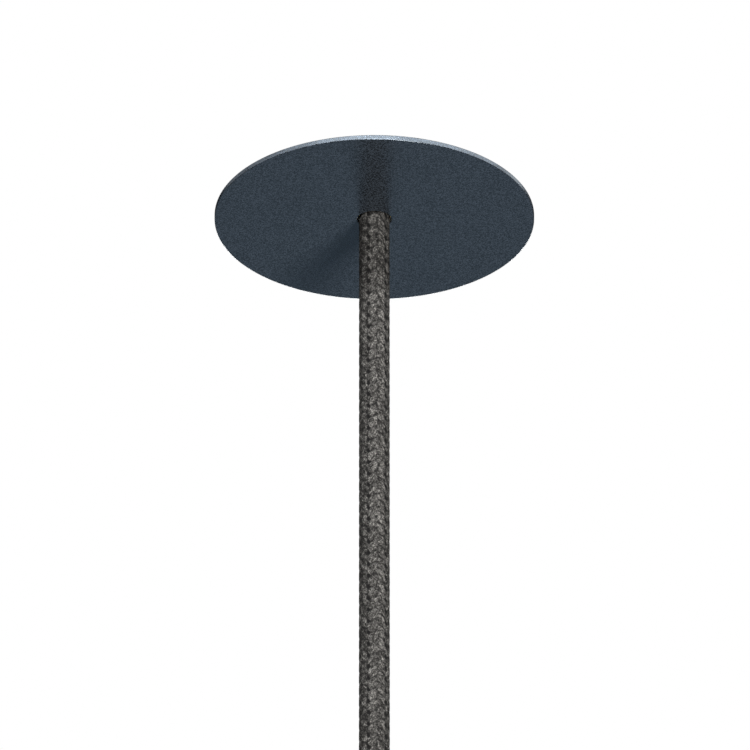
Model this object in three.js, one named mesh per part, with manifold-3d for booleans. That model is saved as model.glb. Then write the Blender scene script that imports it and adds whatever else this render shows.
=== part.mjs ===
// Ceiling cable outlet cap: a flat painted steel disc with a textile cable hanging through its middle.
// Frame: millimetres, +Z up. The origin is the centre of the disc's back face, which lies on the ceiling,
// so the disc and the hanging cable are below z = 0 and the fixings sit above it, inside the ceiling.

import * as THREE from 'three';
import { mergeVertices } from 'three/addons/utils/BufferGeometryUtils.js';
import Module from 'manifold-3d';

const wasm = await Module();
wasm.setup();

// Cover disc
const discDiameter = 70;
const discThickness = 1.1;
const discEdgeRadius = 0.3;

// Textile cable: a braid over a round sheath over three cores
const cableDiameter = 6.75;
const braidThickness = 0.4;
const coreDiameter = 2.2;
const coreSpacing = 0.15;
const cableClearanceInDisc = 0.4;
const cableClearanceInGrip = 0.3;
const pieceGap = 0.3;

// The cable's route, top to bottom: it hangs straight through the disc, pulled taut by a lamp
const cableHeights = [
  12.4, 4, -8, -20, -32, -44, -56, -68, -80, -92, -104, -116, -128, -140, -149, -156.4,
];

// Prepared cable ends
const upperSheathLength = 1;
const lowerSheathLength = 1.8;
const coreStraightLength = 8;
const coreBendRadius = 5;
const upperCoreBend = THREE.MathUtils.degToRad(75);
const lowerCoreBend = THREE.MathUtils.degToRad(14);
const upperCoreSplay = THREE.MathUtils.degToRad(37);
const ferruleLength = 7;
const ferruleDiameter = 1.6;
const ferruleFlareLength = 1.2;

// Weld studs, and the washers and nuts on them
const studDiameter = 3;
const studFlangeDiameter = 4.2;
const studFlangeHeight = 0.45;
const studThreadBeyondNut = 1.4;
const washerDiameter = 7;
const washerThickness = 0.5;
const nutAcrossFlats = 5.5;
const nutHeight = 2.4;
const fastenerClearance = 0.2;

// Cord grips: one above the disc, and the same one at the cable's lower end
const gripShankDiameter = 10;
const gripBodyDiameter = 13;
const gripBodyHeight = 7.4;
const gripAcrossFlats = 12;
const gripTopRadius = 1.2;
const gripScrewDiameter = 3.9;
const gripScrewHeadDiameter = 6;
const gripScrewHeadHeight = 1.9;
const gripScrewSlotWidth = 0.9;
const gripScrewSlotDepth = 0.9;
const gripBossWall = 1.3;
const gripBossReach = 8.6;
const locknutAcrossFlats = 14;
const locknutHeight = 2.5;
const shankBeyondLocknut = 1;
const shankClearance = 0.2;
const chamfer = 0.4;

// Spring bracket: one folded strip
const stripThickness = 0.6;
const stripWidth = 16;
const legWidth = 9;
const stripCornerRadius = 2;
const bendInnerRadius = 0.8;
const bridgeSideClearance = 0.7;
const shankTipClearance = 0.5;
const washerEdgeClearance = 0.4;
const ceilingHoleDiameter = 44;
const legPreload = 0.9;
const bearingClearance = 1;
const kneeHeight = 7;
const legTipRise = 3.2;
const legTipReturn = 2.2;

// Lower cord grip
const fittingTopHeight = -141.5;
const lampWallThickness = 1;
const fittingShankBeyondLocknut = 3;

// Facets
const discSegments = 120;
const turnedSegments = 32;
const smallSegments = 20;
const cableSides = 12;
const coreSides = 8;
const coreSteps = 8;

// Sizes that follow from the ones above
const discHoleDiameter = cableDiameter + 2 * cableClearanceInDisc;
const gripBoreDiameter = cableDiameter + 2 * cableClearanceInGrip;
const gripBossRadius = gripScrewDiameter / 2 + gripBossWall;
const gripScrewHeight = gripBossRadius + pieceGap;
const stripMiddle = stripThickness / 2;
const bendMiddleRadius = bendInnerRadius + stripMiddle;
const bridgeUnderside = shankTipClearance + shankBeyondLocknut + locknutHeight;
const bridgeTop = bridgeUnderside + stripThickness;
const bridgeWallX = locknutAcrossFlats / 2 + bridgeSideClearance + stripMiddle;
const studX = bridgeWallX + bendMiddleRadius + washerEdgeClearance + washerDiameter / 2;
const footEndX = studX + washerDiameter / 2 + washerEdgeClearance;
const kneeX = ceilingHoleDiameter / 2 + legPreload - stripMiddle;
const bearingRadius = ceilingHoleDiameter / 2 + legPreload + bearingClearance;
const washerSeat = stripThickness;
const nutSeat = washerSeat + washerThickness;
const studHeight = nutSeat + nutHeight + studThreadBeyondNut;
const sheathDiameter = cableDiameter - 2 * braidThickness;
const corePitchRadius = (coreDiameter + coreSpacing) / Math.sqrt(3);
const cableTop = cableHeights[0];
const cableBottom = cableHeights[cableHeights.length - 1];

// Finishes
const paintedSteel = new THREE.MeshStandardMaterial({ color: 0x39414b, roughness: 0.5, metalness: 0.2 });
const platedSteel = new THREE.MeshStandardMaterial({ color: 0xb8bcbe, roughness: 0.35, metalness: 1 });
const springSteel = new THREE.MeshStandardMaterial({ color: 0x9a9d9f, roughness: 0.3, metalness: 1 });
const copperPlate = new THREE.MeshStandardMaterial({ color: 0xc9c7c0, roughness: 0.4, metalness: 1 });
const naturalNylon = new THREE.MeshStandardMaterial({ color: 0xe9e6dc, roughness: 0.5, metalness: 0 });
const greyBraid = new THREE.MeshStandardMaterial({ color: 0x53514e, roughness: 0.95, metalness: 0 });
const blackSheath = new THREE.MeshStandardMaterial({ color: 0x1c1c1d, roughness: 0.6, metalness: 0 });
const brownCore = new THREE.MeshStandardMaterial({ color: 0x5a3420, roughness: 0.5, metalness: 0 });
const blueCore = new THREE.MeshStandardMaterial({ color: 0x2a5f9e, roughness: 0.5, metalness: 0 });
const greenCore = new THREE.MeshStandardMaterial({ color: 0x4f8f3a, roughness: 0.5, metalness: 0 });

const cap = new THREE.Group();

function addPiece(name, geometry, material) {
  const mesh = new THREE.Mesh(geometry, material);
  mesh.name = name;
  cap.add(mesh);
  return mesh;
}

// Booleans: a closed geometry as a solid, and a solid as a geometry

function solidOf(geometry) {
  const bare = geometry.clone();
  bare.deleteAttribute('normal');
  bare.deleteAttribute('uv');
  const merged = mergeVertices(bare, 1e-4);
  return new wasm.Manifold(new wasm.Mesh({
    numProp: 3,
    vertProperties: new Float32Array(merged.attributes.position.array),
    triVerts: new Uint32Array(merged.index.array),
  }));
}

function geometryOf(solid) {
  const mesh = solid.getMesh();
  const geometry = new THREE.BufferGeometry();
  geometry.setAttribute('position', new THREE.BufferAttribute(mesh.vertProperties, 3));
  geometry.setIndex(new THREE.BufferAttribute(mesh.triVerts, 1));
  geometry.computeVertexNormals();
  return geometry;
}

// Shapes that several pieces share

// A profile of (radius, height) points, counter-clockwise, turned about +Z
function turned(profile, segments) {
  return new THREE.LatheGeometry(profile, segments).rotateX(Math.PI / 2);
}

function turnedPoints(pairs, segments) {
  return turned(pairs.map(([radius, height]) => new THREE.Vector2(radius, height)), segments);
}

// A plain cylinder about +Z, from one height to another
function rod(radius, bottom, top, segments) {
  return turnedPoints([[0, bottom], [radius, bottom], [radius, top], [0, top]], segments);
}

// A flat plate of a given outline, from one height to another
function plate(outline, bottom, top, curveSegments) {
  const depth = top - bottom;
  return new THREE.ExtrudeGeometry(outline, { depth, bevelEnabled: false, curveSegments })
    .translate(0, 0, bottom);
}

function roundedRectangle(length, width, radius) {
  const x = length / 2;
  const y = width / 2;
  const outline = new THREE.Shape();
  outline.moveTo(-x + radius, -y);
  outline.absarc(x - radius, -y + radius, radius, -Math.PI / 2, 0);
  outline.absarc(x - radius, y - radius, radius, 0, Math.PI / 2);
  outline.absarc(-x + radius, y - radius, radius, Math.PI / 2, Math.PI);
  outline.absarc(-x + radius, -y + radius, radius, Math.PI, 1.5 * Math.PI);
  return outline;
}

// A hexagon nut with both faces chamfered and the mouths of its bore eased, its flats facing +X and -X
function hexagonNut(acrossFlats, height, boreRadius) {
  const cornerRadius = acrossFlats / Math.sqrt(3);
  const faceRadius = acrossFlats / 2;
  const bevelHeight = (cornerRadius - faceRadius) * Math.tan(Math.PI / 6);
  const blank = turnedPoints([
    [boreRadius + chamfer / 2, 0], [faceRadius, 0], [cornerRadius, bevelHeight],
    [cornerRadius, height - bevelHeight], [faceRadius, height], [boreRadius + chamfer / 2, height],
    [boreRadius, height - chamfer / 2], [boreRadius, chamfer / 2], [boreRadius + chamfer / 2, 0],
  ], turnedSegments);
  const corners = [0, 1, 2, 3, 4, 5].map((corner) => {
    const angle = (corner + 0.5) * Math.PI / 3;
    return new THREE.Vector2(cornerRadius * Math.cos(angle), cornerRadius * Math.sin(angle));
  });
  const prism = solidOf(plate(new THREE.Shape(corners), -chamfer, height + chamfer, 1));
  return geometryOf(solidOf(blank).intersect(prism));
}

// Cover disc: sheet steel, its outer edge and the edge of its hole eased all round. Its back face is two
// rings of faces, the outer of which lies on the ceiling and the inner of which carries the fixings.

function makeCoverDisc() {
  const inner = discHoleDiameter / 2;
  const outer = discDiameter / 2;
  const edge = discEdgeRadius;
  const quarter = Math.PI / 2;
  const section = new THREE.Path();
  section.moveTo(inner + edge, -discThickness);
  section.absarc(outer - edge, -discThickness + edge, edge, -quarter, 0);
  section.absarc(outer - edge, -edge, edge, 0, quarter);
  section.lineTo(bearingRadius, 0);
  section.absarc(inner + edge, -edge, edge, quarter, 2 * quarter);
  section.absarc(inner + edge, -discThickness + edge, edge, 2 * quarter, 3 * quarter);
  const profile = section.getPoints(2);
  profile[profile.length - 1].copy(profile[0]);
  addPiece('cover_disc', turned(profile, discSegments), paintedSteel);
}

// Weld studs with their washers and nuts, left and right of the cable

function makeStudSet(side, x) {
  const boreRadius = studDiameter / 2 + fastenerClearance;
  const stud = turnedPoints([
    [0, 0], [studFlangeDiameter / 2, 0], [studFlangeDiameter / 2, studFlangeHeight],
    [studDiameter / 2, studFlangeHeight], [studDiameter / 2, studHeight - chamfer],
    [studDiameter / 2 - chamfer, studHeight], [0, studHeight],
  ], smallSegments);
  const washer = turnedPoints([
    [boreRadius, washerSeat], [washerDiameter / 2, washerSeat], [washerDiameter / 2, nutSeat],
    [boreRadius, nutSeat], [boreRadius, washerSeat],
  ], turnedSegments);
  const nut = hexagonNut(nutAcrossFlats, nutHeight, boreRadius);
  addPiece(`stud_${side}`, stud, platedSteel).position.x = x;
  addPiece(`washer_${side}`, washer, platedSteel).position.x = x;
  addPiece(`nut_${side}`, nut, platedSteel).position.set(x, 0, nutSeat);
}

// Spring bracket: the strip's middle line is folded with round bends, given its thickness and width, and
// then cut to its plan outline and drilled

// Points and normals along a folded line, with an arc of the bend radius at each corner
function foldedLine(corners, radius, arcSteps) {
  const line = [];
  const addPoint = (point, direction) => {
    line.push({ point, normal: new THREE.Vector2(-direction.y, direction.x) });
  };
  corners.forEach((corner, i) => {
    const before = corners[i - 1];
    const after = corners[i + 1];
    if (!before || !after) {
      const direction = before ? corner.clone().sub(before) : after.clone().sub(corner);
      addPoint(corner, direction.normalize());
      return;
    }
    const incoming = corner.clone().sub(before).normalize();
    const outgoing = after.clone().sub(corner).normalize();
    const turn = Math.atan2(incoming.cross(outgoing), incoming.dot(outgoing));
    const tangentLength = radius * Math.tan(Math.abs(turn) / 2);
    const start = corner.clone().addScaledVector(incoming, -tangentLength);
    const towardsCentre = new THREE.Vector2(-incoming.y, incoming.x).multiplyScalar(Math.sign(turn));
    const centre = start.clone().addScaledVector(towardsCentre, radius);
    for (let step = 0; step <= arcSteps; step++) {
      const angle = turn * step / arcSteps;
      const direction = incoming.clone().rotateAround(new THREE.Vector2(), angle);
      addPoint(start.clone().rotateAround(centre, angle), direction);
    }
  });
  return line;
}

function makeSpringBracket() {
  const halfCorners = [
    [kneeX - legTipReturn, kneeHeight + legTipRise],
    [kneeX, kneeHeight],
    [footEndX + stripThickness, stripMiddle],
    [bridgeWallX, stripMiddle],
    [bridgeWallX, bridgeUnderside + stripMiddle],
  ];
  const corners = [
    ...halfCorners.map(([x, z]) => new THREE.Vector2(-x, z)),
    ...halfCorners.toReversed().map(([x, z]) => new THREE.Vector2(x, z)),
  ];
  const line = foldedLine(corners, bendMiddleRadius, 5);
  const upperSide = line.map(({ point, normal }) => point.clone().addScaledVector(normal, stripMiddle));
  const lowerSide = line.map(({ point, normal }) => point.clone().addScaledVector(normal, -stripMiddle));
  const section = new THREE.Shape([...lowerSide, ...upperSide.toReversed()]);
  const folded = new THREE.ExtrudeGeometry(section, { depth: stripWidth, bevelEnabled: false })
    .rotateX(Math.PI / 2)
    .translate(0, stripWidth / 2, 0);

  const height = kneeHeight + legTipRise + stripThickness;
  const footPlan = roundedRectangle(2 * footEndX, stripWidth, stripCornerRadius);
  const legPlan = roundedRectangle(2 * (kneeX + stripThickness), legWidth, stripCornerRadius);
  const plan = solidOf(plate(footPlan, -stripThickness, height, 3))
    .add(solidOf(plate(legPlan, -stripThickness, height, 3)));

  const shankHole = rod(gripShankDiameter / 2 + shankClearance, stripThickness, height, turnedSegments);
  const studHole = rod(studFlangeDiameter / 2 + fastenerClearance, -stripThickness, height, smallSegments);
  const bracket = solidOf(folded)
    .intersect(plan)
    .subtract(solidOf(shankHole))
    .subtract(solidOf(studHole).translate([studX, 0, 0]))
    .subtract(solidOf(studHole).translate([-studX, 0, 0]));
  addPiece('spring_bracket', geometryOf(bracket), springSteel);
}

// Cord grip: a moulded body with a threaded shank below its shoulder and a screw boss on its back, a
// locknut that pulls the shoulder onto a plate, and a slotted screw that presses on the cable

function makeCordGrip(names, shoulderHeight, plateThickness, shankBeyondNut) {
  const shankRadius = gripShankDiameter / 2;
  const bodyRadius = gripBodyDiameter / 2;
  const shankLength = plateThickness + locknutHeight + shankBeyondNut;

  const outside = new THREE.Path();
  outside.moveTo(0, -shankLength);
  outside.lineTo(shankRadius - chamfer, -shankLength);
  outside.lineTo(shankRadius, -shankLength + chamfer);
  outside.lineTo(shankRadius, 0);
  outside.lineTo(bodyRadius, 0);
  outside.absarc(bodyRadius - gripTopRadius, gripBodyHeight - gripTopRadius, gripTopRadius, 0, Math.PI / 2);
  outside.lineTo(0, gripBodyHeight);
  const flatsPlan = roundedRectangle(gripAcrossFlats, 2 * gripBodyDiameter, chamfer);
  const flats = solidOf(plate(flatsPlan, -shankLength - chamfer, gripBodyHeight + chamfer, 2));
  const boss = solidOf(rod(gripBossRadius, 0, gripBossReach, turnedSegments).rotateX(-Math.PI / 2));
  const boreRadius = gripBoreDiameter / 2;
  const bore = solidOf(turnedPoints([
    [0, -shankLength - chamfer], [boreRadius + 2 * chamfer, -shankLength - chamfer],
    [boreRadius, -shankLength + chamfer], [boreRadius, gripBodyHeight - chamfer],
    [boreRadius + 2 * chamfer, gripBodyHeight + chamfer], [0, gripBodyHeight + chamfer],
  ], turnedSegments));
  const screwHoleRadius = gripScrewDiameter / 2 + fastenerClearance;
  const screwHole = solidOf(
    rod(screwHoleRadius, 0, gripBossReach + chamfer, smallSegments).rotateX(-Math.PI / 2),
  );
  const body = solidOf(turned(outside.getPoints(3), turnedSegments))
    .intersect(flats)
    .add(boss.translate([0, 0, gripScrewHeight]))
    .subtract(bore)
    .subtract(screwHole.translate([0, 0, gripScrewHeight]));
  addPiece(names.body, geometryOf(body), naturalNylon).position.z = shoulderHeight;

  const locknut = hexagonNut(locknutAcrossFlats, locknutHeight, shankRadius + shankClearance);
  addPiece(names.locknut, locknut, platedSteel).position.z = shoulderHeight - plateThickness - locknutHeight;

  const tip = cableDiameter / 2 + pieceGap;
  const headSeat = gripBossReach + pieceGap;
  const headTop = headSeat + gripScrewHeadHeight;
  const blank = solidOf(turnedPoints([
    [0, tip], [gripScrewDiameter / 2 - chamfer, tip], [gripScrewDiameter / 2, tip + chamfer],
    [gripScrewDiameter / 2, headSeat], [gripScrewHeadDiameter / 2, headSeat],
    [gripScrewHeadDiameter / 2, headTop - chamfer], [gripScrewHeadDiameter / 2 - chamfer, headTop],
    [0, headTop],
  ], smallSegments));
  const slot = solidOf(
    new THREE.BoxGeometry(2 * gripScrewHeadDiameter, gripScrewSlotWidth, 2 * gripScrewSlotDepth),
  );
  const screw = geometryOf(blank.subtract(slot.translate([0, 0, headTop]))).rotateX(-Math.PI / 2);
  addPiece(names.screw, screw, naturalNylon).position.z = shoulderHeight + gripScrewHeight;
}

// Cable: a plain round tube along its route

function makeCable() {
  const route = new THREE.CatmullRomCurve3(cableHeights.map((z) => new THREE.Vector3(0, 0, z)));
  const section = new THREE.Shape().absarc(0, 0, cableDiameter / 2, 0, 2 * Math.PI);
  const tube = new THREE.ExtrudeGeometry(section, {
    extrudePath: route, steps: cableHeights.length - 1, curveSegments: cableSides / 2,
  });
  addPiece('cable', tube, greyBraid);
}

// Prepared end: a short length of bare sheath, then three cores that leave it along the cable, bend to one
// side and end in ferrules. Direction is 1 at the upper end and -1 at the lower end.

function makeCableEnd(end, cableEnd, direction, sheathLength, bend, headings) {
  const sheathStart = cableEnd + direction * pieceGap;
  const sheathEnd = sheathStart + direction * sheathLength;
  const bottom = Math.min(sheathStart, sheathEnd);
  const top = Math.max(sheathStart, sheathEnd);
  addPiece(`${end}_sheath`, rod(sheathDiameter / 2, bottom, top, turnedSegments), blackSheath);

  const cores = [
    { name: 'earth', place: Math.PI / 2, material: greenCore },
    { name: 'live', place: Math.PI * 7 / 6, material: brownCore },
    { name: 'neutral', place: Math.PI * 11 / 6, material: blueCore },
  ];
  cores.forEach(({ name, place, material }, i) => {
    const start = new THREE.Vector3(
      corePitchRadius * Math.cos(place), corePitchRadius * Math.sin(place), sheathEnd + direction * pieceGap,
    );
    const heading = headings ? headings[i] : place;
    const outward = new THREE.Vector3(Math.cos(heading), Math.sin(heading), 0);
    const along = new THREE.Vector3(0, 0, direction);
    const pointAt = (angle) => start.clone()
      .addScaledVector(outward, coreBendRadius * (1 - Math.cos(angle)))
      .addScaledVector(along, coreBendRadius * Math.sin(angle));
    const tangent = outward.clone().multiplyScalar(Math.sin(bend)).addScaledVector(along, Math.cos(bend));
    const bendPoints = [0, 0.25, 0.5, 0.75, 1].map((share) => pointAt(share * bend));
    const last = bendPoints[bendPoints.length - 1];
    const straightPoints = [0.5, 1].map(
      (share) => last.clone().addScaledVector(tangent, share * coreStraightLength),
    );
    const route = new THREE.CatmullRomCurve3([...bendPoints, ...straightPoints], false, 'centripetal');
    const section = new THREE.Shape().absarc(0, 0, coreDiameter / 2, 0, 2 * Math.PI);
    const tube = new THREE.ExtrudeGeometry(section, {
      extrudePath: route, steps: coreSteps, curveSegments: coreSides / 2,
    });
    addPiece(`${end}_${name}_core`, tube, material);

    const ferrule = turnedPoints([
      [0, 0], [coreDiameter / 2, 0], [ferruleDiameter / 2, ferruleFlareLength],
      [ferruleDiameter / 2, ferruleLength], [0, ferruleLength],
    ], smallSegments);
    const piece = addPiece(`${end}_${name}_ferrule`, ferrule, copperPlate);
    piece.quaternion.setFromUnitVectors(new THREE.Vector3(0, 0, 1), tangent);
    piece.position.copy(last).addScaledVector(tangent, coreStraightLength + pieceGap);
  });
}

makeCoverDisc();
makeStudSet('left', -studX);
makeStudSet('right', studX);
makeSpringBracket();
makeCordGrip(
  { body: 'grip_body', locknut: 'grip_locknut', screw: 'grip_screw' },
  bridgeTop, stripThickness, shankBeyondLocknut,
);
makeCable();
const backwards = Math.PI / 2;
makeCableEnd('upper', cableTop, 1, upperSheathLength, upperCoreBend,
  [backwards, backwards + upperCoreSplay, backwards - upperCoreSplay]);
makeCordGrip(
  { body: 'fitting_body', locknut: 'fitting_locknut', screw: 'fitting_screw' },
  fittingTopHeight - gripBodyHeight, lampWallThickness, fittingShankBeyondLocknut,
);
makeCableEnd('lower', cableBottom, -1, lowerSheathLength, lowerCoreBend);

export default cap;
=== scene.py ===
# %% [markdown]
# # A ceiling cable outlet cap
#
# A thin painted steel disc covers the hole in a ceiling where a lamp's cable comes out. The cable is a
# round textile one, held taut by the lamp. Behind the disc hide the parts that carry it: a spring
# bracket, two weld studs with washers and nuts, and a cord grip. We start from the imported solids, which
# fix every size and place, and dress each of them with a finer shape and a finish. Everything is in
# metres, +Z is up, and z = 0 is the ceiling.

# %% Load the solids that set the sizes
import math

import bmesh
import bpy
import numpy as np
from mathutils import Matrix, Vector


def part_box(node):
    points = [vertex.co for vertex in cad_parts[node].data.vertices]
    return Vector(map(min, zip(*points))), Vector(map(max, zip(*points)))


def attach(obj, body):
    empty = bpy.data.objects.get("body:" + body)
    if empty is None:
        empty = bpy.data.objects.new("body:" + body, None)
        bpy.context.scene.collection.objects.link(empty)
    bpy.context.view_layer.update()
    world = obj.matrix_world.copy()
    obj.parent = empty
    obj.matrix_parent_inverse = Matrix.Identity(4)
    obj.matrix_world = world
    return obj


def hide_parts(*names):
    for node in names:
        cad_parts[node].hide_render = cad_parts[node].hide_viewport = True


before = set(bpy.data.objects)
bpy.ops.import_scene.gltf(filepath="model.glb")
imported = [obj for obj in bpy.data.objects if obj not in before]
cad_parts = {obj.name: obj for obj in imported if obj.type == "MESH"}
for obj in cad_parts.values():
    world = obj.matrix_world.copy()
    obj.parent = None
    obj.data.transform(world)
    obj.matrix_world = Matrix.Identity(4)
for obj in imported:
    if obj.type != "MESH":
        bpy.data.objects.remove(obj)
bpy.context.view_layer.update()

mm = 0.001
bpy.ops.object.select_all(action="DESELECT")

# %% [markdown]
# ## Camera
#
# The view is from nearly 30 degrees below the horizon, with hardly any perspective: the cable is as wide
# at the bottom as at the top. An orthographic camera could do that, but a very long lens far away looks
# the same and stays a real camera. We first work out how many metres one pixel of the 750-pixel picture
# covers, then aim the camera so that the middle of the disc's lower face falls on its pixel.

# %% Camera
picture_pixels = 750
disc_half_width_pixels = 159.85
face_middle_pixel = (374.35, 219.65)
disc_low, disc_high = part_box("cover_disc")
disc_radius = disc_high.x
metres_per_pixel = disc_radius / disc_half_width_pixels

below = math.radians(29.77)
forward = Vector((0, math.cos(below), math.sin(below)))
picture_up = Vector((0, -math.sin(below), math.cos(below)))
right_shift = (picture_pixels / 2 - face_middle_pixel[0]) * metres_per_pixel
down_shift = (picture_pixels / 2 - face_middle_pixel[1]) * metres_per_pixel
face_middle = Vector((0, 0, disc_low.z))
aim = face_middle + Vector((right_shift, 0, 0)) - picture_up * down_shift

bpy.ops.object.camera_add()
camera = bpy.context.object
camera.data.sensor_width = 36
camera.data.lens = 1500
camera_distance = picture_pixels * metres_per_pixel * camera.data.lens / camera.data.sensor_width
camera.location = aim - forward * camera_distance
camera.rotation_euler = (math.radians(90) + below, 0, 0)
camera.data.clip_start = 0.1
camera.data.clip_end = 100
bpy.context.scene.camera = camera
print(f"one pixel is {metres_per_pixel / mm:.4f} mm, the camera stands {camera_distance:.2f} m away")

# %% [markdown]
# ## Cable
#
# The cable's textile is braided from bundles of yarns that wind round it both ways and take turns to
# lie on top. So the surface shows 10 lanes of short, fat stitches, which lean left and right in turn,
# each lane half a stitch up from the next. Where the stitches of two lanes meet at the foot of a V they
# part a little and leave a dark pinhole. A plain tube with a bump texture would be flat in close-up, so
# the stitches are real relief: a tube mesh with fine rings whose radius follows the braid.
#
# The braid's height is worked out on a grid: `lane` runs from 0 to 10 round the cable, `row` counts the
# stitches along it. `across` is the place in a lane, 0 in its middle and half at its edges. The slant,
# the reach and the pinhole's size are in lanes and stitches, so they fit a cable of any thickness.

# %% The braid's height
braid_lanes = 10
row_length = 2.839 * mm
relief_depth = 0.17 * mm
stitch_slant = 0.36
stitch_reach = 0.72
groove_depth = 0.6
pinhole_width, pinhole_length = 0.14, 0.12
pinhole_sink = 1.5


def stitch_height(across, row):
    """Height of the stitches of one direction, 1 on a crown. They meet with a soft groove between them."""
    climb = row + across * stitch_slant
    from_crown = 2 * np.abs(climb - np.floor(climb) - 0.5)
    return 1 - groove_depth * from_crown ** 4 - np.abs(across / stitch_reach) ** 3


def pinhole_depth(lane, row):
    """1 in the middle of a pinhole, at the foot of each V, and 0 away from it."""
    from_foot = np.abs(lane % 2 - 1)
    from_hole = np.abs((row + 0.5) % 1 - 0.5)
    return np.exp(-(from_foot / pinhole_width) ** 2 - (from_hole / pinhole_length) ** 2)


def braid_height(lane, row):
    """Height of the braid's surface, from 0 in the deepest hole to 1 on a crown."""
    leaning_right = (lane + 0.5) % 2 - 1
    leaning_left = (lane + 1.5) % 2 - 1
    stitches = np.maximum(stitch_height(leaning_right, row + 0.5), stitch_height(leaning_left, -row))
    return np.clip(stitches - pinhole_sink * pinhole_depth(lane, row), 0, 1)


sample = braid_height(*np.meshgrid(np.linspace(0, braid_lanes, 400), np.linspace(0, 4, 400)))
print(f"braid height: mean {sample.mean():.2f}, deepest {sample.min():.2f}")

# %% [markdown]
# The route is the same as the solid's: straight down through the disc, because a lamp outside the
# picture holds the cable taut. At both ends the textile is drawn in a little, as where it is cut. Its
# 84,000 points are too many to place with operators, so they are worked out as one array.

# %% Cable mesh
cable_heights = [z * mm for z in (
    12.4, 4, -8, -20, -32, -44, -56, -68, -80, -92, -104, -116, -128, -140, -149, -156.4)]
cable_radius = 3.375 * mm
first_lane_angle = math.radians(11.5)
pinhole_height = -95.0 * mm
row_at_zero = -pinhole_height / row_length
end_rounding, end_inset = 0.5 * mm, 0.45 * mm
sides, rings = 120, 700

ring_heights = np.linspace(cable_heights[0], cable_heights[-1], rings)
turn = np.arange(sides) / sides
lane_grid, height_grid = np.meshgrid(turn * braid_lanes, ring_heights)
row_grid = height_grid / row_length + row_at_zero
relief = braid_height(lane_grid, row_grid)
edge_distance = np.minimum(cable_heights[0] - height_grid, height_grid - cable_heights[-1])
end_taper = np.clip(edge_distance / end_rounding, 0, 1)
radius_grid = cable_radius - relief_depth * (1 - relief) - end_inset * (1 - end_taper) ** 2
angle_grid = lane_grid / braid_lanes * 2 * np.pi + first_lane_angle - np.pi / 2
points = np.stack([
    radius_grid * np.cos(angle_grid), radius_grid * np.sin(angle_grid), height_grid], axis=-1)

# %% [markdown]
# Each face joins two neighbours of one ring to the two below them, and a fan of triangles closes each end.

# %% Cable faces
ring_index, side_index = np.meshgrid(np.arange(rings - 1), np.arange(sides), indexing="ij")
next_side = (side_index + 1) % sides
corner = ring_index * sides
quads = np.stack([
    corner + side_index, corner + sides + side_index,
    corner + sides + next_side, corner + next_side], axis=-1).reshape(-1, 4)
middle_top, middle_bottom = rings * sides, rings * sides + 1
last_ring = (rings - 1) * sides
caps = [(middle_top, i, (i + 1) % sides) for i in range(sides)]
caps += [(middle_bottom, last_ring + (i + 1) % sides, last_ring + i) for i in range(sides)]
print(f"{quads.size // 4} faces round the cable and {len(caps)} on its ends")

# %% [markdown]
# The mesh also carries what its finish needs. A UV map named braid keeps the lane and row of every
# corner, so that the yarns follow the stitches, and an attribute named depth keeps the relief.

# %% Cable piece
mesh = bpy.data.meshes.new("cable_braid")
mesh.from_pydata(
    points.reshape(-1, 3).tolist() + [(0, 0, cable_heights[0]), (0, 0, cable_heights[-1])],
    [], quads.tolist() + caps)
braid_map = mesh.uv_layers.new(name="braid")
lanes = np.stack([side_index, side_index, side_index + 1, side_index + 1], axis=-1) / sides * braid_lanes
heights = ring_heights[np.stack([ring_index, ring_index + 1, ring_index + 1, ring_index], axis=-1)]
places = np.stack([lanes, heights / row_length + row_at_zero], axis=-1).reshape(-1, 2)
cap_places = np.full((len(caps) * 3, 2), 0.5)
braid_map.data.foreach_set("uv", np.concatenate([places, cap_places]).ravel().astype(np.float32))
depth = mesh.attributes.new("depth", "FLOAT", "POINT")
depth.data.foreach_set("value", np.append(1 - relief.ravel(), [1, 1]).astype(np.float32))
mesh.shade_smooth()

cable = bpy.data.objects.new("cable_braid", mesh)
bpy.context.scene.collection.objects.link(cable)
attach(cable, "root")
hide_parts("cable")
print(f"cable_braid: {len(mesh.polygons)} faces, {2 * cable_radius / mm:.2f} mm thick")

# %% [markdown]
# ## Writing a finish as arithmetic
#
# A finish is a graph of shader nodes. Written node by node it is long, so `add_node` adds a node, makes
# its settings and fills its sockets in one line, and a small class wraps an output socket: a sum or
# product of such wires and numbers adds the Math nodes.

# %% Nodes and wires


def add_node(tree, kind, settings, sockets, output=0):
    """Adds a node, makes its settings, fills its sockets with numbers or wires, and returns an output."""
    node = tree.nodes.new(kind)
    for setting, value in settings.items():
        if setting == "stops":
            while len(node.color_ramp.elements) < len(value):
                node.color_ramp.elements.new(1)
            for element, (place, colour) in zip(node.color_ramp.elements, value):
                element.position = place
                element.color = (*colour, 1)
        else:
            setattr(node, setting, value)
    for name, value in (sockets.items() if isinstance(sockets, dict) else enumerate(sockets)):
        if isinstance(value, Wire):
            tree.links.new(value.socket, node.inputs[name])
        else:
            node.inputs[name].default_value = value
    return Wire(tree, node.outputs[output])


class Wire:
    """An output socket that can be used in sums and products."""

    def __init__(self, tree, socket):
        self.tree, self.socket = tree, socket

    def maths(self, operation, *values):
        return add_node(self.tree, "ShaderNodeMath", {"operation": operation}, values)

    def __add__(self, other):
        return self.maths("ADD", self, other)

    def __sub__(self, other):
        return self.maths("SUBTRACT", self, other)

    def __rsub__(self, other):
        return self.maths("SUBTRACT", other, self)

    def __mul__(self, other):
        return self.maths("MULTIPLY", self, other)

    __radd__, __rmul__ = __add__, __mul__


print("nodes and wires ready")

# %% [markdown]
# Every finish here is a Principled shader. Its patterns come from noise on the object's own coordinates,
# so they need no picture and stay on the piece when it moves. A ramp turns a pattern into colours.

# %% Finish helpers


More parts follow.
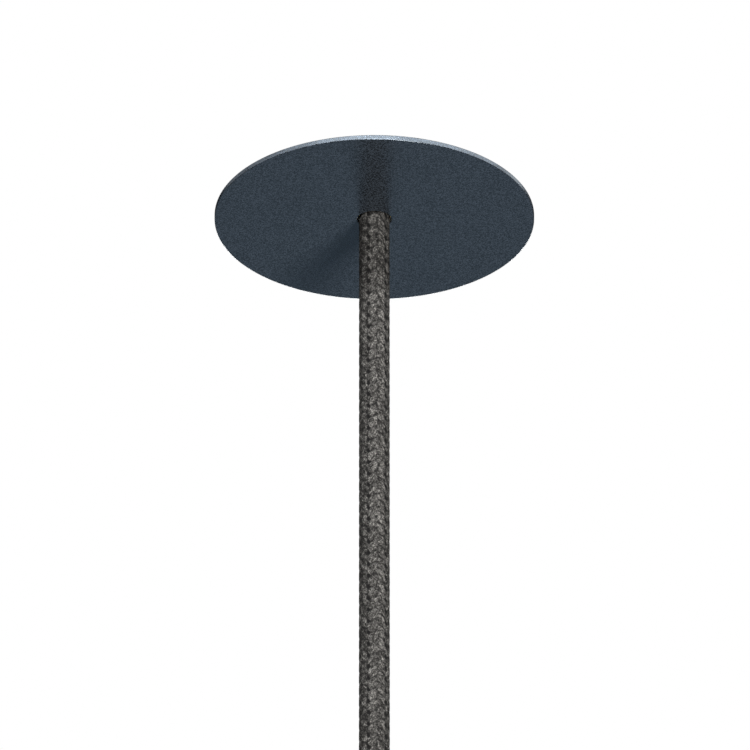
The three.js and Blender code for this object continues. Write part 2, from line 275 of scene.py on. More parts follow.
def new_finish(name, constants):
    """A material with a Principled shader, whose constant sockets are set on the shader itself."""
    material = bpy.data.materials.new(name)
    material.use_nodes = True
    shader = material.node_tree.nodes["Principled BSDF"]
    for socket, value in constants.items():
        shader.inputs[socket].default_value = value
    return material, material.node_tree, shader


def floor(wire):
    return wire.maths("FLOOR", wire)


def mix(factor, first, second):
    """A colour between two colours."""
    return add_node(factor.tree, "ShaderNodeMix", {"data_type": "RGBA"},
                    {0: factor, 6: first, 7: second}, 2)


def ramp(factor, stops):
    return add_node(factor.tree, "ShaderNodeValToRGB", {"stops": stops}, [factor])


def object_place(tree):
    return add_node(tree, "ShaderNodeTexCoord", {}, {}, 3)


def noise(tree, scale, detail=2, stretch=None):
    """Noise on the object's own coordinates, in features per metre, stretched along an axis if asked."""
    place = object_place(tree)
    if stretch:
        place = add_node(tree, "ShaderNodeMapping", {}, {"Vector": place, "Scale": stretch})
    return add_node(tree, "ShaderNodeTexNoise", {}, {"Vector": place, "Scale": scale, "Detail": detail})


def bump(height, distance, strength=1):
    return add_node(height.tree, "ShaderNodeBump", {},
                    {"Strength": strength, "Distance": distance, "Height": height})


def connect(shader, socket, wire):
    wire.tree.links.new(wire.socket, shader.inputs[socket])


print("finish helpers ready")

# %% [markdown]
# ## Yarns
#
# The textile is a melange: each bundle holds five yarns, spun of light and dark fibres, so neighbouring
# yarns differ and every yarn changes tone along its length. From the braid map we find the lane, the
# stitch in it and the yarn in the stitch, and give each yarn its own tone. Fine noise stands for single
# fibres and coarse noise for thicker and thinner places. All lanes but the two that face the camera get
# painted shade: their tone is lowered, so the cable's sides look less lit. The hollows between the
# stitches are dark, because little light gets in.

# %% Find the yarn
braid_finish, tree, shader = new_finish("grey braid", {"Roughness": 1.0, "Specular IOR Level": 0.05})
yarns_in_bundle = 5
place = add_node(tree, "ShaderNodeUVMap", {"uv_map": "braid"}, {})
lane_place = add_node(tree, "ShaderNodeSeparateXYZ", {}, [place], 0)
row_place = add_node(tree, "ShaderNodeSeparateXYZ", {}, [place], 1)
wander = noise(tree, 900, 1) - 0.5
lane = floor(lane_place)
across = lane_place - lane - 0.5
left = lane.maths("MODULO", lane, 2)
climb = (row_place + across + 0.5) * (1 - left) + (across - row_place) * left + wander * 0.4
bundle = floor(climb)
yarn_place = (climb - bundle) * yarns_in_bundle
yarn = floor(yarn_place)
from_yarn_middle = (yarn_place - yarn) * 2 - 1
yarn_number = add_node(tree, "ShaderNodeCombineXYZ", {}, [lane, bundle, yarn])
yarn_tone = add_node(tree, "ShaderNodeTexWhiteNoise", {}, {"Vector": yarn_number})
length_number = floor(across * 3.4 + yarn_tone * 9)
piece_number = add_node(tree, "ShaderNodeCombineXYZ", {}, [lane * 31 + length_number, bundle, yarn])
piece_tone = add_node(tree, "ShaderNodeTexWhiteNoise", {}, {"Vector": piece_number})
print(f"{len(tree.nodes)} nodes find the yarn")

# %% [markdown]
# Now each place gets its tone, a wool-like grey from that tone, and the shade of the grooves and hollows.
# A small bump rounds the single yarns, which are too fine for the mesh.

# %% Braid finish
fibre_tone = noise(tree, 3000, 2)
blotch = noise(tree, 900, 2)
# Painted shade: every lane but the two facing the camera has its tone lowered, so the sides look less lit.
facing_lane = (lane + 1).maths("MODULO", lane + 1, braid_lanes)
painted_side_shade = facing_lane.maths("GREATER_THAN", facing_lane, 1.5)
tone = (yarn_tone * 0.15 + piece_tone * 0.35 + (fibre_tone - 0.5) * 1.9 + (blotch - 0.5) * 0.9
        - painted_side_shade * 0.07 + 0.26)
hollow = add_node(tree, "ShaderNodeAttribute", {"attribute_name": "depth"}, {}, 2)
yarn_colour = ramp(tone, [
    (0.0, (0.007, 0.0068, 0.0065)), (0.35, (0.026, 0.0252, 0.024)),
    (0.65, (0.070, 0.0678, 0.0645)), (1.0, (0.18, 0.174, 0.165))])
shade = ramp(hollow, [(0.15, (0, 0, 0)), (0.4, (0.5, 0.5, 0.5)), (0.62, (1, 1, 1))])
groove = from_yarn_middle * from_yarn_middle
edge = ramp(groove, [(0.3, (0, 0, 0)), (1.0, (0.8, 0.8, 0.8))])
groove_colour, hollow_colour = (0.014, 0.0137, 0.013, 1), (0.008, 0.008, 0.008, 1)
yarn_and_groove = mix(edge, yarn_colour, groove_colour)
connect(shader, "Base Color", mix(shade, yarn_and_groove, hollow_colour))
yarn_relief = (1 - groove) * 0.8 + fibre_tone * 0.15
connect(shader, "Normal", bump(yarn_relief, 0.08 * mm))
cable.data.materials.append(braid_finish)
print(f"{len(tree.nodes)} nodes in the braid finish")

# %% [markdown]
# ## Modelling by hand, in code
#
# The other pieces are modelled with Blender's own operators, which act on all that is selected. So most
# helpers are about that: they pick pieces, select faces or edges by where they are, or put a fresh
# primitive's place into its mesh, so that the piece itself stays at the origin.

# %% Modelling helpers


def settle(place=Matrix.Identity(4)):
    """Moves the active object by a matrix and puts its place into its mesh, so it sits at the origin."""
    piece = bpy.context.object
    piece.matrix_world = place @ piece.matrix_world
    bpy.context.view_layer.update()
    bpy.ops.object.transform_apply(location=True, rotation=True, scale=True)
    return piece


def pick(*pieces):
    """Selects only these pieces and makes the first of them the active one."""
    bpy.ops.object.select_all(action="DESELECT")
    for piece in pieces:
        piece.select_set(True)
    bpy.context.view_layer.objects.active = pieces[0]


def select(kind, test):
    """In edit mode, selects only the items whose middle, with a face's normal or an edge's way, passes."""
    bpy.ops.mesh.select_mode(type="FACE" if kind == "faces" else "EDGE")
    bpy.ops.mesh.select_all(action="DESELECT")
    edited = bmesh.from_edit_mesh(bpy.context.object.data)
    for item in getattr(edited, kind):
        if kind == "faces":
            chosen = test(item.calc_center_median(), item.normal)
        else:
            chosen = test((item.verts[0].co + item.verts[1].co) / 2,
                          (item.verts[1].co - item.verts[0].co).normalized())
        item.select_set(chosen)
    bmesh.update_edit_mesh(bpy.context.object.data)


def modify(piece, kind, settings):
    """Adds a modifier with its settings and applies it."""
    bpy.context.view_layer.objects.active = piece
    modifier = piece.modifiers.new(kind.lower(), kind)
    for setting, value in settings.items():
        setattr(modifier, setting, value)
    bpy.ops.object.modifier_apply(modifier=modifier.name)


def smooth(piece, degrees=35):
    """Shades a piece smooth, but keeps edges sharper than an angle crisp."""
    pick(piece)
    bpy.ops.object.shade_smooth_by_angle(angle=math.radians(degrees))


print("modelling helpers ready")

# %% [markdown]
# Each piece ends the same way: it gets its name, its body, the solids it stands for and its finish. All
# pieces of this cap ride on one body, since nothing in it moves.

# %% Finishing a piece


def finished(piece, name, material, slot, *nodes):
    """Names a piece, puts it on the body, lets it stand for its solids and gives it its finish."""
    piece.name = name
    piece.data.materials.clear()
    piece.data.materials.append(material)
    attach(piece, "root")
    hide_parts(*nodes)
    bpy.ops.object.select_all(action="DESELECT")
    low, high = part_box(nodes[0])
    print(f"{name}: {len(piece.data.polygons)} faces, {[round(v / mm, 2) for v in high - low]} mm")
    return piece


print("ready to finish pieces")

# %% [markdown]
# ## Cover disc
#
# The disc is laser-cut sheet steel, 70 mm across and 1.1 mm thick. A boolean could cut its hole, but an
# inset keeps the faces in order: a cylinder is inset on both faces down to the hole and the two inner
# faces are bridged, which opens it. A bevel eases all four edges, as the thick powder coat does.

# %% Disc shape
hole_radius = 3.775 * mm
edge_softness = 0.12 * mm

bpy.ops.mesh.primitive_cylinder_add(
    vertices=240, radius=disc_radius, depth=disc_high.z - disc_low.z,
    location=(0, 0, (disc_high.z + disc_low.z) / 2))
disc = settle()
bpy.ops.object.mode_set(mode="EDIT")
select("faces", lambda middle, normal: abs(normal.z) > 0.9)
bpy.ops.mesh.inset(thickness=disc_radius - hole_radius)
bpy.ops.mesh.bridge_edge_loops()
bpy.ops.object.mode_set(mode="OBJECT")
modify(disc, "BEVEL", {"width": edge_softness, "segments": 3, "limit_method": "ANGLE"})
smooth(disc, 10)
print(f"a disc {2 * disc_radius / mm:.1f} mm across with a hole of {2 * hole_radius / mm:.2f} mm")

# %% [markdown]
# The paint is a satin powder coat in dark slate blue. It has a fine orange-peel grain: a soft speckle in
# the colour, a change of gloss, and a shallow bump. Its flakes give it a bluish, blurred reflection, so
# part of it is metallic.

# %% Slate paint
slate, tree, shader = new_finish("slate paint", {
    "Specular IOR Level": 0.6, "Specular Tint": (0.8, 0.92, 1, 1)})
grain = noise(tree, 4000, 1)
clouds = noise(tree, 60, 2)
speckle = grain * 0.96 + clouds * 0.04
connect(shader, "Base Color", ramp(speckle, [
    (0.41, (0.009, 0.0115, 0.015)), (0.5, (0.0257, 0.0333, 0.0444)), (0.59, (0.057, 0.072, 0.094))]))
connect(shader, "Metallic", clouds * 0.04 + 0.33)
connect(shader, "Roughness", grain * 0.4 + 0.07)
connect(shader, "Normal", bump(grain, 0.01 * mm))
finished(disc, "disc", slate, "slate_paint", "cover_disc")

# %% [markdown]
# ## Light, floor and background
#
# A plain studio: a white background, a pale floor far below, and soft lamps. The key lamp stands low on
# the near right and throws the cable's soft shadow over the disc. The back lamp is mirrored in the lower
# face, all but where the cable stands before it, which gives the dark band from the hole to the near rim.
# An arc of flat lamps round the front, 30 degrees above the disc, is mirrored in the rim, and a lamp
# level with the disc lights the cable right up to its hole. The rear lamp is only for looking at the
# back. Each lamp's power was found by rendering it alone and comparing its share with the photo.

# %% Lamps
lit_place = Vector((0, 0, -20 * mm))
lamp_distance = 2.0


def soft_lamp(name, azimuth, elevation, width, height, watts, colour=(1, 1, 1)):
    """A soft lamp aimed at the cap. Azimuth 0 is the camera's side, positive to the right."""
    azimuth, elevation = math.radians(azimuth), math.radians(elevation)
    level = math.cos(elevation)
    towards = Vector((math.sin(azimuth) * level, -math.cos(azimuth) * level, math.sin(elevation)))
    bpy.ops.object.light_add(type="AREA", location=lit_place + towards * lamp_distance)
    lamp = bpy.context.object
    lamp.name = name
    lamp.rotation_euler = (-towards).to_track_quat("-Z", "Y").to_euler()
    lamp.data.shape = "RECTANGLE"
    lamp.data.size, lamp.data.size_y = width, height
    lamp.data.energy = watts
    lamp.data.color = colour
    lamp.visible_camera = False


soft_lamp("key lamp", 29, -56, 0.4, 0.4, 43, (1, 0.95, 0.89))
soft_lamp("low front lamp", 2, -2, 0.5, 0.3, 56)
arc_lamps = (
    (-118, 0.8), (-85, 2.4), (-55, 6.5), (-27, 15), (0, 17.5), (27, 13), (55, 11), (84, 6.5), (118, 3))
for azimuth, watts in arc_lamps:
    soft_lamp("arc lamp", azimuth, 30, 0.9, 0.35, watts)
soft_lamp("back lamp", 180, -31, 1.5, 1.5, 3.0, (0.62, 0.81, 1))
soft_lamp("rear lamp", 180, 12, 1.0, 0.8, 40)
print(f"{len(arc_lamps) + 4} lamps")

# %% [markdown]
# The world is white where the camera sees it and nearly black as a light, so that the lamps alone set
# the shadows and the reflections.

# %% Floor and background
bpy.ops.mesh.primitive_plane_add(size=80, location=(0, 0, -12))
studio_floor = bpy.context.object
studio_floor.name = "studio_floor"
floor_finish = new_finish("pale floor", {"Base Color": (0.8, 0.8, 0.8, 1), "Roughness": 0.9})[0]
studio_floor.data.materials.append(floor_finish)

world = bpy.data.worlds.new("studio")
bpy.context.scene.world = world
world.use_nodes = True
tree = world.node_tree
tree.nodes.clear()
seen = add_node(tree, "ShaderNodeLightPath", {}, {}, "Is Camera Ray")
lighting = add_node(tree, "ShaderNodeBackground", {}, {"Color": (0.93, 0.97, 1, 1), "Strength": 0.005})
backdrop = add_node(tree, "ShaderNodeBackground", {}, {"Color": (1, 1, 1, 1), "Strength": 1.0})
surroundings = add_node(tree, "ShaderNodeMixShader", {}, [seen, lighting, backdrop])
output = tree.nodes.new("ShaderNodeOutputWorld")
tree.links.new(surroundings.socket, output.inputs["Surface"])
bpy.context.scene.view_settings.view_transform = "Standard"
bpy.ops.object.select_all(action="DESELECT")
print("studio ready")

# %% [markdown]
# ## Metals
#
# The small fixings are zinc-plated steel: bright, slightly bluish, with cloudy patches where the plating
# is duller. The bracket is spring steel strip with fine rolling lines along its length. Both are fully
# metallic, and their roughness varies far more than their colour.

# %% Metal finishes
zinc, tree, shader = new_finish("zinc plate", {"Metallic": 1.0})
clouds = noise(tree, 500, 3)
connect(shader, "Base Color", ramp(clouds, [(0.3, (0.40, 0.415, 0.43)), (0.7, (0.56, 0.57, 0.56))]))
connect(shader, "Roughness", clouds * 0.3 + 0.28)
connect(shader, "Normal", bump(noise(tree, 3000, 2), 0.01 * mm, 0.3))

spring, tree, shader = new_finish("spring steel", {"Metallic": 1.0})
rolling = noise(tree, 260, 4, stretch=(1, 26, 1))
patches = noise(tree, 120, 2)
connect(shader, "Base Color", ramp(rolling * 0.6 + patches * 0.4, [
    (0.3, (0.26, 0.26, 0.27)), (0.7, (0.44, 0.44, 0.44))]))
connect(shader, "Roughness", rolling * 0.3 + 0.24)
connect(shader, "Normal", bump(rolling, 0.01 * mm, 0.5))
print("metals ready")

# %% [markdown]
# ## Studs, washers and nuts
#
# Two M3 studs are welded to the back of the disc and carry a washer and a nut each. All of them are
# turned parts, so they are made as on a lathe: we draw half of the outline and spin it round the axis.

# %% Turned shapes


def outline(points):
    """Draws a line through (x, z) points in millimetres: a plane is merged to a point and extruded on."""
    bpy.ops.mesh.primitive_plane_add(size=mm)
    bpy.ops.object.mode_set(mode="EDIT")
    bpy.ops.mesh.select_mode(type="VERT")
    bpy.ops.mesh.select_all(action="SELECT")
    bpy.ops.mesh.merge(type="CENTER")
    places = [Vector((x, 0, z)) * mm for x, z in points]
    bpy.ops.transform.translate(value=places[0])
    for before, after in zip(places, places[1:]):
        bpy.ops.mesh.extrude_region_move(TRANSFORM_OT_translate={"value": after - before})
    bpy.ops.mesh.select_all(action="SELECT")


def close_up():
    """In edit mode, merges doubles and points all faces outwards, then leaves edit mode."""
    bpy.ops.mesh.select_all(action="SELECT")
    bpy.ops.mesh.remove_doubles(threshold=0.002 * mm)
    bpy.ops.mesh.normals_make_consistent(inside=False)
    bpy.ops.object.mode_set(mode="OBJECT")


def turned(points, steps=48):
    """A turned shape: an outline of (radius, height) points in millimetres, spun round the Z axis."""
    outline(points)
    bpy.ops.mesh.spin(steps=steps, angle=2 * math.pi, center=(0, 0, 0), axis=(0, 0, 1))
    close_up()
    return bpy.context.object


def rounded(x, z, radius, start, end, steps=4):
    """Points on a quarter round about (x, z), from one angle to another, in degrees."""
    angles = [math.radians(start + (end - start) * i / steps) for i in range(steps + 1)]
    return [(x + radius * math.cos(angle), z + radius * math.sin(angle)) for angle in angles]


print("ready to turn")

# %% [markdown]
# A thread is a ridge wound round a core. A texture would look flat from the side, so we draw the ridge's
# small section and let the Screw modifier carry it up and round.

# %% Threads


def thread(radius, pitch, bottom, top, steps=20):
    """A closed helical ridge in millimetres, whose base is sunk a little in the core it is wound on."""
    ridge_height, flat_start, flat_end = 0.72 * pitch, 0.44 * pitch, 0.56 * pitch
    base = radius - ridge_height
    outline([(base, bottom), (radius, bottom + flat_start), (radius, bottom + flat_end),
             (base, bottom + pitch), (base, bottom)])
    bpy.ops.mesh.remove_doubles(threshold=0.002 * mm)
    bpy.ops.object.mode_set(mode="OBJECT")
    ridge = bpy.context.object
    modify(ridge, "SCREW", {
        "axis": "Z", "angle": 2 * math.pi, "screw_offset": pitch * mm, "steps": steps,
        "render_steps": steps, "iterations": round((top - bottom) / pitch) - 1})
    bpy.ops.object.mode_set(mode="EDIT")
    bpy.ops.mesh.select_all(action="SELECT")
    bpy.ops.mesh.fill_holes(sides=8)
    close_up()
    return ridge


print("ready to wind threads")

# %% [markdown]
# The right stud and washer are modelled on the axis and then moved out. The left ones are copies.

# %% Studs and washers


def aimed(place, direction=(0, 0, 1)):
    """A matrix that turns +Z to a direction and moves the origin to a place."""
    return Matrix.Translation(place) @ Vector(direction).to_track_quat("Z", "Y").to_matrix().to_4x4()


def joined(piece, *others):
    pick(piece, *others)
    bpy.ops.object.join()
    return piece


def moved(piece, place):
    pick(piece)
    return settle(place)


def copied(piece, place):
    """A copy with its own mesh, moved by a matrix."""
    pick(piece)
    bpy.ops.object.duplicate()
    return settle(place)


stud_low, stud_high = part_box("stud_right")
stud_x = (stud_low.x + stud_high.x) / 2
right_side, other_side = aimed((stud_x, 0, 0)), Matrix.Translation((-2 * stud_x, 0, 0))
stud_top = stud_high.z / mm
strip_top, washer_top = 0.6, 1.1

core = turned([
    (0, 0.005), (2.1, 0.005), (2.1, 0.33), *rounded(1.98, 0.33, 0.12, 0, 90, 2), (1.2, strip_top),
    (1.2, stud_top - 0.4), (1.0, stud_top), (0, stud_top)], 32)
stud = joined(core, thread(1.5, 0.5, strip_top, stud_top - 0.3))
smooth(stud)
moved(stud, right_side)
finished(stud, "weld_stud_right", zinc, "zinc_plate", "stud_right")
finished(copied(stud, other_side), "weld_stud_left", zinc, "zinc_plate", "stud_left")

washer = turned([
    (1.72, strip_top), (3.4, strip_top), *rounded(3.36, 0.98, 0.12, 0, 90, 3), (1.82, washer_top),
    (1.72, washer_top - 0.1), (1.72, strip_top)])
smooth(washer)
moved(washer, right_side)
finished(washer, "plain_washer_right", zinc, "zinc_plate", "washer_right")
finished(copied(washer, other_side), "plain_washer_left", zinc, "zinc_plate", "washer_left")

# %% [markdown]
# A hexagon nut starts as a turned ring with both faces chamfered, and six plane cuts give it its flats.
# The curves where flat and chamfer meet then come by themselves, as they do on the real nut.

# %% Hexagon nuts


def hexagon_nut(across_flats, bore, bottom, top):
    """A hexagon nut with flats facing +X and -X, sizes in millimetres."""
    face, corner = across_flats / 2, across_flats / math.sqrt(3)
    chamfer_start, chamfer_rise = face * 0.97, (corner - face) * math.tan(math.radians(30))
    lead_in = 0.25
    nut = turned([
        (bore + lead_in, bottom), (chamfer_start, bottom), (corner, bottom + chamfer_rise),
        (corner, top - chamfer_rise), (chamfer_start, top), (bore + lead_in, top), (bore, top - lead_in),
        (bore, bottom + lead_in), (bore + lead_in, bottom)], 72)
    bpy.ops.object.mode_set(mode="EDIT")
    for side in range(6):
        normal = (math.cos(side * math.pi / 3), math.sin(side * math.pi / 3), 0)
        bpy.ops.mesh.select_all(action="SELECT")
        bpy.ops.mesh.bisect(plane_co=Vector(normal) * face * mm, plane_no=normal,
                            use_fill=True, clear_outer=True)
    close_up()
    smooth(nut, 25)
    return nut


nut_low, nut_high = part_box("nut_right")
nut = moved(hexagon_nut(5.5, 1.55, nut_low.z / mm, nut_high.z / mm), right_side)
finished(nut, "nut_m3_right", zinc, "zinc_plate", "nut_right")
finished(copied(nut, other_side), "nut_m3_left", zinc, "zinc_plate", "nut_left")

# %% [markdown]
# ## Spring bracket
#
# One strip of spring steel, 0.6 mm thick, folded into a bridge, two feet and two sprung legs whose knees
# press on the wall of the hole in the ceiling. We fold its middle line, widen it to a sheet, round the
# bends with edge bevels and give it its thickness with Solidify.

# %% Folded strip
strip_thickness, strip_width = 0.6, 16
knee_x, tip_x, foot_x, wall_x = 22.6, 20.4, 17.5, 8.0
knee_z, tip_z, bridge_z, foot_z = 7.0, 10.2, 4.3, 0.3
right_half = [(wall_x, bridge_z), (wall_x, foot_z), (foot_x, foot_z), (knee_x, knee_z), (tip_x, tip_z)]
outline([(-x, z) for x, z in reversed(right_half)] + right_half)
bpy.ops.mesh.extrude_region_move(TRANSFORM_OT_translate={"value": (0, strip_width * mm, 0)})
bpy.ops.mesh.select_all(action="SELECT")
bpy.ops.transform.translate(value=(0, -strip_width / 2 * mm, 0))
for bend_x, bend_z, bend_start in (
        (wall_x, bridge_z, 1.1), (wall_x, foot_z, 1.1), (foot_x, foot_z, 0.545), (knee_x, knee_z, 0.796)):
    select("edges", lambda middle, direction: abs(direction.y) > 0.9
           and abs(abs(middle.x) - bend_x * mm) < 1e-6 and abs(middle.z - bend_z * mm) < 1e-6)
    bpy.ops.mesh.bevel(offset=bend_start * mm, segments=8, affect="EDGES", clamp_overlap=False)
close_up()
bracket = bpy.context.object
modify(bracket, "SOLIDIFY", {"thickness": strip_thickness * mm, "offset": 0})
print(f"the folded strip has {len(bracket.data.polygons)} faces")

# %% [markdown]
# A press tool trims the strip to narrower legs and punches its holes. A boolean does the same: a block
# with the outline seen from above keeps what is inside it, and three cylinders take out the holes. A
# last small bevel takes the sharpness off the cut edges, where the light catches.

# %% Trim and drill the strip


def cut(piece, operation, tool):
    """Joins, cuts or trims a piece with a tool shape, then throws the tool away."""
    modify(piece, "BOOLEAN", {"operation": operation, "object": tool, "solver": "EXACT"})
    bpy.data.objects.remove(tool)


def trim_block(length, width):
    """A block with its four upright edges rounded, which covers what is kept of the strip."""
    bpy.ops.mesh.primitive_cube_add(
        size=1, location=(0, 0, 5 * mm), scale=(length * mm, width * mm, 20 * mm))
    block = settle()
    bpy.ops.object.mode_set(mode="EDIT")
    select("edges", lambda middle, direction: abs(direction.z) > 0.9)
    bpy.ops.mesh.bevel(offset=2 * mm, segments=6, affect="EDGES")
    bpy.ops.object.mode_set(mode="OBJECT")
    return block


feet_length, legs_length, legs_width, side_room = 33.8, 46.4, 9, 0.1
shank_hole, stud_hole, stud_out = 5.2, 2.3, 13
kept = trim_block(feet_length, strip_width + 2 * side_room)
cut(kept, "UNION", trim_block(legs_length, legs_width))
cut(bracket, "INTERSECT", kept)
for hole_x, hole_z, hole in (
        (0, bridge_z, shank_hole), (stud_out, foot_z, stud_hole), (-stud_out, foot_z, stud_hole)):
    bpy.ops.mesh.primitive_cylinder_add(
        vertices=64, radius=hole * mm, depth=2 * mm, location=(hole_x * mm, 0, hole_z * mm))
    cut(bracket, "DIFFERENCE", settle())
modify(bracket, "BEVEL", {
    "width": 0.07 * mm, "segments": 2, "limit_method": "ANGLE", "angle_limit": math.radians(50)})
smooth(bracket, 30)
finished(bracket, "folded_spring_bracket", spring, "spring_steel", "spring_bracket")

# %% [markdown]
# ## Cord grips
#
# A cord grip is moulded in natural nylon: milky, a little translucent, with a soft gloss. A little
# subsurface scattering gives that depth, which a plain colour would lack.

# %% Nylon finish
nylon, tree, shader = new_finish("natural nylon", {
    "Subsurface Weight": 0.6, "Subsurface Radius": (1.0, 0.9, 0.7), "Subsurface Scale": 2 * mm,
    "Specular IOR Level": 0.5})
milky = noise(tree, 220, 3)
connect(shader, "Base Color", ramp(milky, [(0.3, (0.50, 0.48, 0.42)), (0.7, (0.60, 0.585, 0.53))]))
connect(shader, "Roughness", milky * 0.2 + 0.34)
connect(shader, "Normal", bump(noise(tree, 2500, 2), 0.01 * mm, 0.4))
print("nylon ready")

# %% [markdown]
# The grip's threaded shank goes through a plate, and a thin locknut pulls the shoulder onto it. The body
# is turned, two flats for a spanner are cut off, a boss for the screw is joined on by a boolean, and a
# second boolean drills the boss through to the cable.

# %% Grip body
grip_height = 7.4
screw_rise = 3.55
flat_out = 6
to_the_back = (0, 1, 0)


def grip_body(shoulder, shank_bottom):
    """The moulded body about +Z: threaded shank, shoulder with two flats, screw boss towards +Y."""
    top = shoulder + grip_height
    body = turned([
        (4.35, shank_bottom), (4.6, shank_bottom + 0.25), (4.6, shoulder), (6.2, shoulder),
        *rounded(6.2, shoulder + 0.3, 0.3, -90, 0, 3), *rounded(5.3, top - 1.2, 1.2, 0, 90, 6),
        *rounded(4.3, top - 0.6, 0.6, 90, 180, 4), (3.7, shank_bottom + 0.6), (4.2, shank_bottom),
        (4.35, shank_bottom)], 72)
    bpy.ops.object.mode_set(mode="EDIT")
    for side in (1, -1):
        bpy.ops.mesh.select_all(action="SELECT")
        bpy.ops.mesh.bisect(plane_co=(side * flat_out * mm, 0, 0), plane_no=(side, 0, 0),
                            use_fill=True, clear_outer=True)
    close_up()
    screw_place = aimed((0, 0, (shoulder + screw_rise) * mm), to_the_back)
    turned([(0, 4.4), (3.2, 4.4), *rounded(2.9, 8.3, 0.3, 0, 90, 3), (0, 8.6)], 48)
    cut(body, "UNION", settle(screw_place))
    turned([(0, 3.0), (2.15, 3.0), (2.15, 8.3), (2.5, 8.7), (0, 8.7)], 40)
    cut(body, "DIFFERENCE", settle(screw_place))
    modify(body, "BEVEL", {
        "width": 0.12 * mm, "segments": 2, "limit_method": "ANGLE", "angle_limit": math.radians(60)})
    joined(body, thread(5.0, 1.0, shank_bottom + 0.3, shoulder + 0.3, 40))
    smooth(body, 35)
    return body


print("ready to mould a grip")

# %% [markdown]
# A slotted nylon screw in the boss presses on the cable. It is turned and threaded like the studs, and a
# flat block cuts its slot.

# %% Grip screw


def grip_screw(shoulder):
    """The slotted screw, from the cable outwards along +Y."""
    screw = turned([(0, 3.68), (1.3, 3.68), (1.6, 4.0), (1.6, 8.9), (2.8, 8.9),
                    *rounded(2.8, 9.1, 0.2, -90, 0, 2), *rounded(2.2, 10.0, 0.8, 0, 90, 5), (0, 10.8)], 40)
    bpy.ops.mesh.primitive_cube_add(
        size=1, location=(0, 0, 10.8 * mm), scale=(8 * mm, 0.9 * mm, 1.8 * mm))
    cut(screw, "DIFFERENCE", settle())
    joined(screw, thread(1.95, 0.7, 4.2, 9.0))
    smooth(screw, 35)
    return moved(screw, aimed((0, 0, (shoulder + screw_rise) * mm), to_the_back))


print("ready to turn a grip screw")

# %% [markdown]
# The same grip sits above the disc and at the cable's lower end, each with its screw and locknut. Their
# places come from the solids. The lower grip belongs to the cable, so its pieces are kept in a list.

# %% Both grips


def cord_grip(solid, name, nut_name):
    """The three pieces of one grip, at the places of its solids."""
    low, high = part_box(f"{solid}_body")
    nut_low, nut_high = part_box(f"{solid}_locknut")
    shoulder = high.z / mm - grip_height
    return [
        finished(grip_body(shoulder, low.z / mm), name, nylon, "natural_nylon", f"{solid}_body"),
        finished(grip_screw(shoulder), f"{name}_screw", nylon, "natural_nylon", f"{solid}_screw"),
        finished(hexagon_nut(14, 5.1, nut_low.z / mm, nut_high.z / mm),
                 nut_name, zinc, "zinc_plate", f"{solid}_locknut")]


cord_grip("grip", "nylon_grip", "grip_nut")
cable_pieces = cord_grip("fitting", "lamp_grip", "lamp_grip_nut")

# %% [markdown]
# ## Prepared cable ends
#
# Above the cap and below the grip the textile ends, a short length of black sheath shows, and three
# cores come out of it: brown, blue, and green with a yellow stripe. They share one soft plastic, whose
# colour and gloss have a slight mottle, because evenly coloured plastic looks like a drawing.

# %% Plastic finishes


def plastic(name, roughness, dark=None, light=None):
    """A soft plastic with a slight mottle in its gloss, and in its colour if two shades are given."""
    made, tree, shader = new_finish(name, {"Specular IOR Level": 0.5})
    mottle = noise(tree, 700, 3)
    if dark:
        connect(shader, "Base Color", ramp(mottle, [(0.3, dark), (0.7, light)]))
    connect(shader, "Roughness", mottle * 0.2 + roughness)
    connect(shader, "Normal", bump(noise(tree, 3500, 2), 0.01 * mm, 0.4))
    return made, tree, shader


sheath_black = plastic("black sheath", 0.5, (0.010, 0.010, 0.011), (0.022, 0.022, 0.023))[0]
brown = plastic("brown insulation", 0.28, (0.075, 0.030, 0.014), (0.115, 0.048, 0.022))[0]
blue = plastic("blue insulation", 0.28, (0.020, 0.085, 0.25), (0.035, 0.13, 0.36))[0]
green, tree, shader = plastic("green and yellow insulation", 0.28)
side = add_node(tree, "ShaderNodeSeparateXYZ", {}, [object_place(tree)], 0)
stripe = ramp(side.maths("ABSOLUTE", side) * 1000 + noise(tree, 900, 1) * 0.1, [
    (0.53, (0.50, 0.41, 0.025)), (0.57, (0.045, 0.20, 0.045))])
connect(shader, "Base Color", stripe)

tinned, tree, shader = new_finish("tinned copper", {"Metallic": 1.0})
tin_clouds = noise(tree, 900, 3)
connect(shader, "Base Color", ramp(tin_clouds, [(0.3, (0.56, 0.53, 0.48)), (0.7, (0.76, 0.74, 0.70))]))
connect(shader, "Roughness", tin_clouds * 0.3 + 0.22)
print("plastics and tin ready")

# %% [markdown]
# A core leaves the sheath along the cable and bends outwards. A curve with a round section would do, but
# a ring that is spun round the centre of its bend and then extruded straight gives cleaner faces, with a
# cut end that is eased by one short, narrower step. All angles are in radians here.

# %% Cores
core_radius = 1.1 * mm
core_spread = 2.35 / math.sqrt(3) * mm
bend_radius = 5 * mm
straight_start = 0.3 * mm
straight_length = 7.85 * mm
eased_length = 0.15 * mm


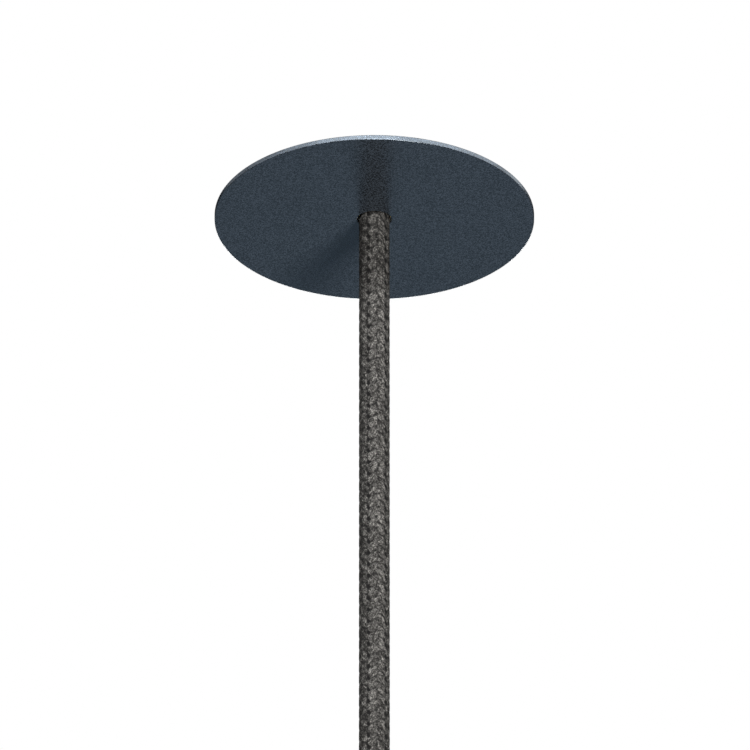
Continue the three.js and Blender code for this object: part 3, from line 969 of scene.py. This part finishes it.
def insulated_core(end, place, heading, bend):
    """A core at a place round the cable, bent towards a heading, with its end's place and direction."""
    sheath_low, sheath_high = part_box(f"{end}_sheath")
    way, sheath_end = (1, sheath_high.z) if end == "upper" else (-1, sheath_low.z)
    along = Vector((0, 0, way))
    start = Vector((core_spread * math.cos(place), core_spread * math.sin(place), sheath_end))
    bend_start = start + along * straight_start
    outward = Vector((math.cos(heading), math.sin(heading), 0))
    tangent = outward * math.sin(bend) + along * math.cos(bend)
    bend_end = bend_start + (outward * (1 - math.cos(bend)) + along * math.sin(bend)) * bend_radius

    bpy.ops.mesh.primitive_circle_add(vertices=24, radius=core_radius, location=start)
    core = settle()
    bpy.ops.object.mode_set(mode="EDIT")
    bpy.ops.mesh.select_all(action="SELECT")
    bpy.ops.mesh.extrude_region_move(TRANSFORM_OT_translate={"value": bend_start - start})
    bpy.ops.mesh.spin(steps=max(3, round(bend / 0.13)), angle=bend,
                      center=bend_start + outward * bend_radius, axis=outward.cross(along))
    bpy.ops.mesh.extrude_region_move(TRANSFORM_OT_translate={"value": tangent * straight_length})
    bpy.ops.mesh.extrude_region_move(TRANSFORM_OT_translate={"value": tangent * eased_length})
    bpy.ops.transform.resize(value=(0.9, 0.9, 0.9))
    bpy.ops.mesh.select_all(action="SELECT")
    bpy.ops.mesh.fill_holes(sides=0)
    close_up()
    smooth(core, 40)
    return core, bend_end + tangent * (straight_length + eased_length), tangent


print(f"cores {2 * core_radius / mm:.1f} mm thick")

# %% [markdown]
# An end sleeve is a small tinned collar and tube, turned in one, with five crimps pressed into it.

# %% End sleeves and bare sheath
sleeve_gap = 0.3 * mm


def end_sleeve(core_end, tangent):
    """A crimped sleeve that points on from a core's end."""
    crimps = [point for i in range(5) for point in ((0.8, 1.9 + i), (0.66, 2.25 + i), (0.8, 2.6 + i))]
    sleeve = turned([
        (0, 0), (1.02, 0), (1.1, 0.12), (1.1, 0.5), (0.8, 1.3), *crimps, (0.8, 6.85),
        (0.68, 7.0), (0.5, 6.9), (0, 6.9)], 24)
    smooth(sleeve, 45)
    return moved(sleeve, aimed(core_end + tangent * sleeve_gap, tangent))


def sheath_ring(end):
    """The bare sheath between the textile and the cores, with a cut edge."""
    low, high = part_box(f"{end}_sheath")
    bottom, top = low.z / mm, high.z / mm
    ring = turned([
        (0, bottom), (2.8, bottom), (2.95, bottom + 0.15), (2.95, top - 0.15), (2.8, top), (0, top)])
    smooth(ring)
    return finished(ring, f"bare_sheath_{end}", sheath_black, "black_sheath", f"{end}_sheath")


print("sleeves and sheath ready")

# %% [markdown]
# The upper cores turn to the back, side by side, where a terminal would wait for them. The lower ones
# hang down and part only a little.

# %% Both cable ends
back, splay = 90, 37
cores = (("earth", 90, green, "green_insulation", back),
         ("live", 210, brown, "brown_insulation", back + splay),
         ("neutral", 330, blue, "blue_insulation", back - splay))
for name, place, finish, slot_name, heading in cores:
    for end, turned_to, bend in (("upper", heading, 75), ("lower", place, 14)):
        core, core_end, tangent = insulated_core(
            end, math.radians(place), math.radians(turned_to), math.radians(bend))
        sleeve = end_sleeve(core_end, tangent)
        cable_pieces += [
            finished(core, f"{name}_wire_{end}", finish, slot_name, f"{end}_{name}_core"),
            finished(sleeve, f"{name}_sleeve_{end}", tinned, "tinned_copper", f"{end}_{name}_ferrule")]
cable_pieces += [sheath_ring("upper"), sheath_ring("lower")]

# %% [markdown]
# ## Declaring the cable
#
# The cable is a real length of something flexible, held taut between the grip above the disc and the
# grip at its lower end, so it is declared with its length, its thickness and the pieces on it.

print(f"{len(cable_pieces)} pieces on the cable")
